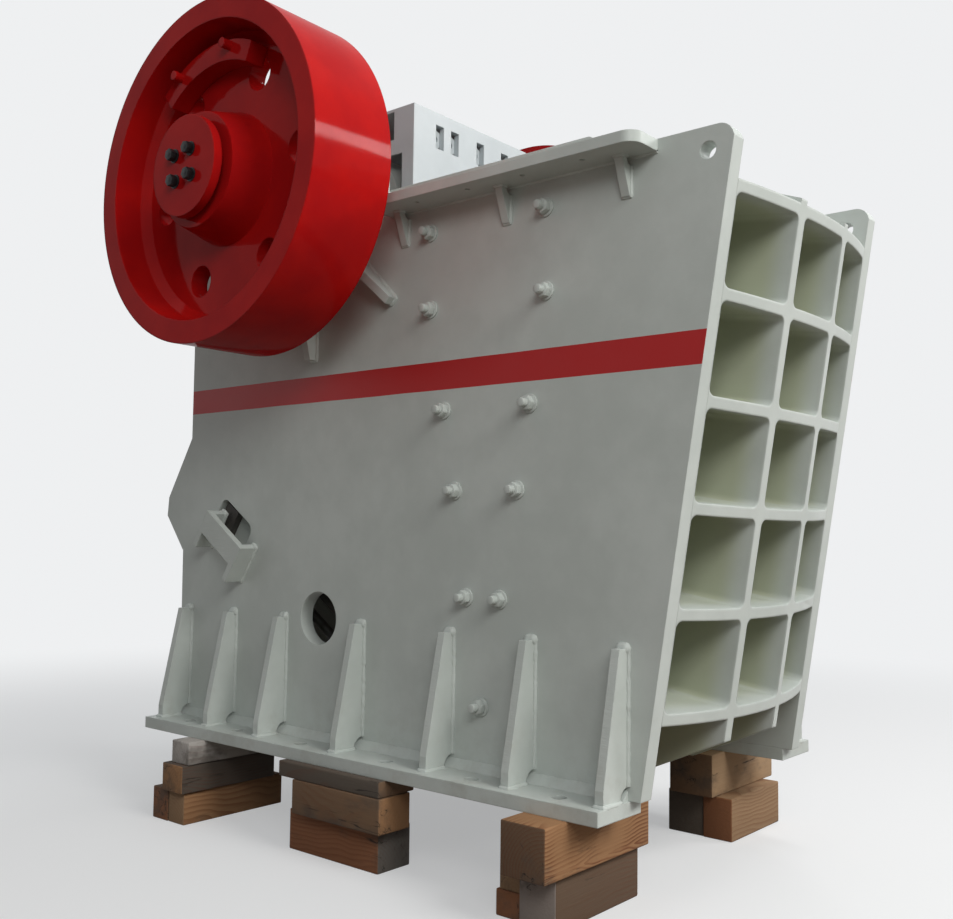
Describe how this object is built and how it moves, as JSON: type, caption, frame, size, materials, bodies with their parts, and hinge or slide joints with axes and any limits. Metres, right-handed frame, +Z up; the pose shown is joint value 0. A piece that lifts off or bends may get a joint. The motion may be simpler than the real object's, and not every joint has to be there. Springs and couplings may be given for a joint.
{
  "type": "jaw crusher",
  "caption": "Single-toggle jaw crusher with a ribbed, bowed front wall, a flywheel and a V-belt pulley on its eccentric shaft, standing on timber blocks.",
  "frame": {"origin": "middle of the footprint of the whole, on the floor under the timber blocks", "axes": "+X towards the ribbed front wall, +Z up, the flywheel on the -Y side and the V-belt pulley on the +Y side"},
  "size_m": [3.5119, 2.96, 3.8049],
  "materials": {
    "cream_paint": "satin",
    "red_paint": "gloss",
    "cast_steel": "as cast",
    "bare_steel": "machined",
    "timber": "sawn"
  },
  "bodies": {
    "frame": {"near_side_plate": "cream_paint", "far_side_plate": "cream_paint", "front_wall": "cream_paint", "rear_beam": "cream_paint", "near_foot_flange": "cream_paint", "far_foot_flange": "cream_paint", "near_foot_gussets": "cream_paint", "far_foot_gussets": "cream_paint", "near_top_ledge": "cream_paint", "far_top_ledge": "cream_paint", "near_ledge_gussets": "cream_paint", "far_ledge_gussets": "cream_paint", "rear_wall": "cream_paint", "near_bearing_housing": "cream_paint", "far_bearing_housing": "cream_paint", "near_bearing_ribs": "cream_paint", "far_bearing_ribs": "cream_paint", "fixed_jaw_plate": "cast_steel", "near_cheek_plates": "cast_steel", "far_cheek_plates": "cast_steel", "swing_jaw_plate": "cast_steel", "jaw_clamp_bar": "cast_steel", "pitman": "cream_paint", "pitman_guard": "cream_paint", "guard_bosses": "cream_paint", "toggle_plate": "bare_steel", "toggle_seat": "cream_paint", "adjusting_wedges": "bare_steel", "near_wedge_bracket": "cream_paint", "far_wedge_bracket": "cream_paint", "tension_rods": "bare_steel", "tension_springs": "bare_steel", "rear_timbers": "timber", "middle_timbers": "timber", "front_timbers": "timber"},
    "rotor": {"eccentric_shaft": "bare_steel", "flywheel": "red_paint", "drive_pulley": "red_paint", "near_counterweight": "red_paint", "far_counterweight": "red_paint", "near_shaft_cap": "red_paint", "far_shaft_cap": "red_paint"}
  },
  "joints": [
    {"name": "shaft_spin", "type": "hinge", "parent": "frame", "child": "rotor", "pos_m": [-0.5525, 0, 3.03], "axis": [0, 1, 0], "continuous": true}
  ]
}
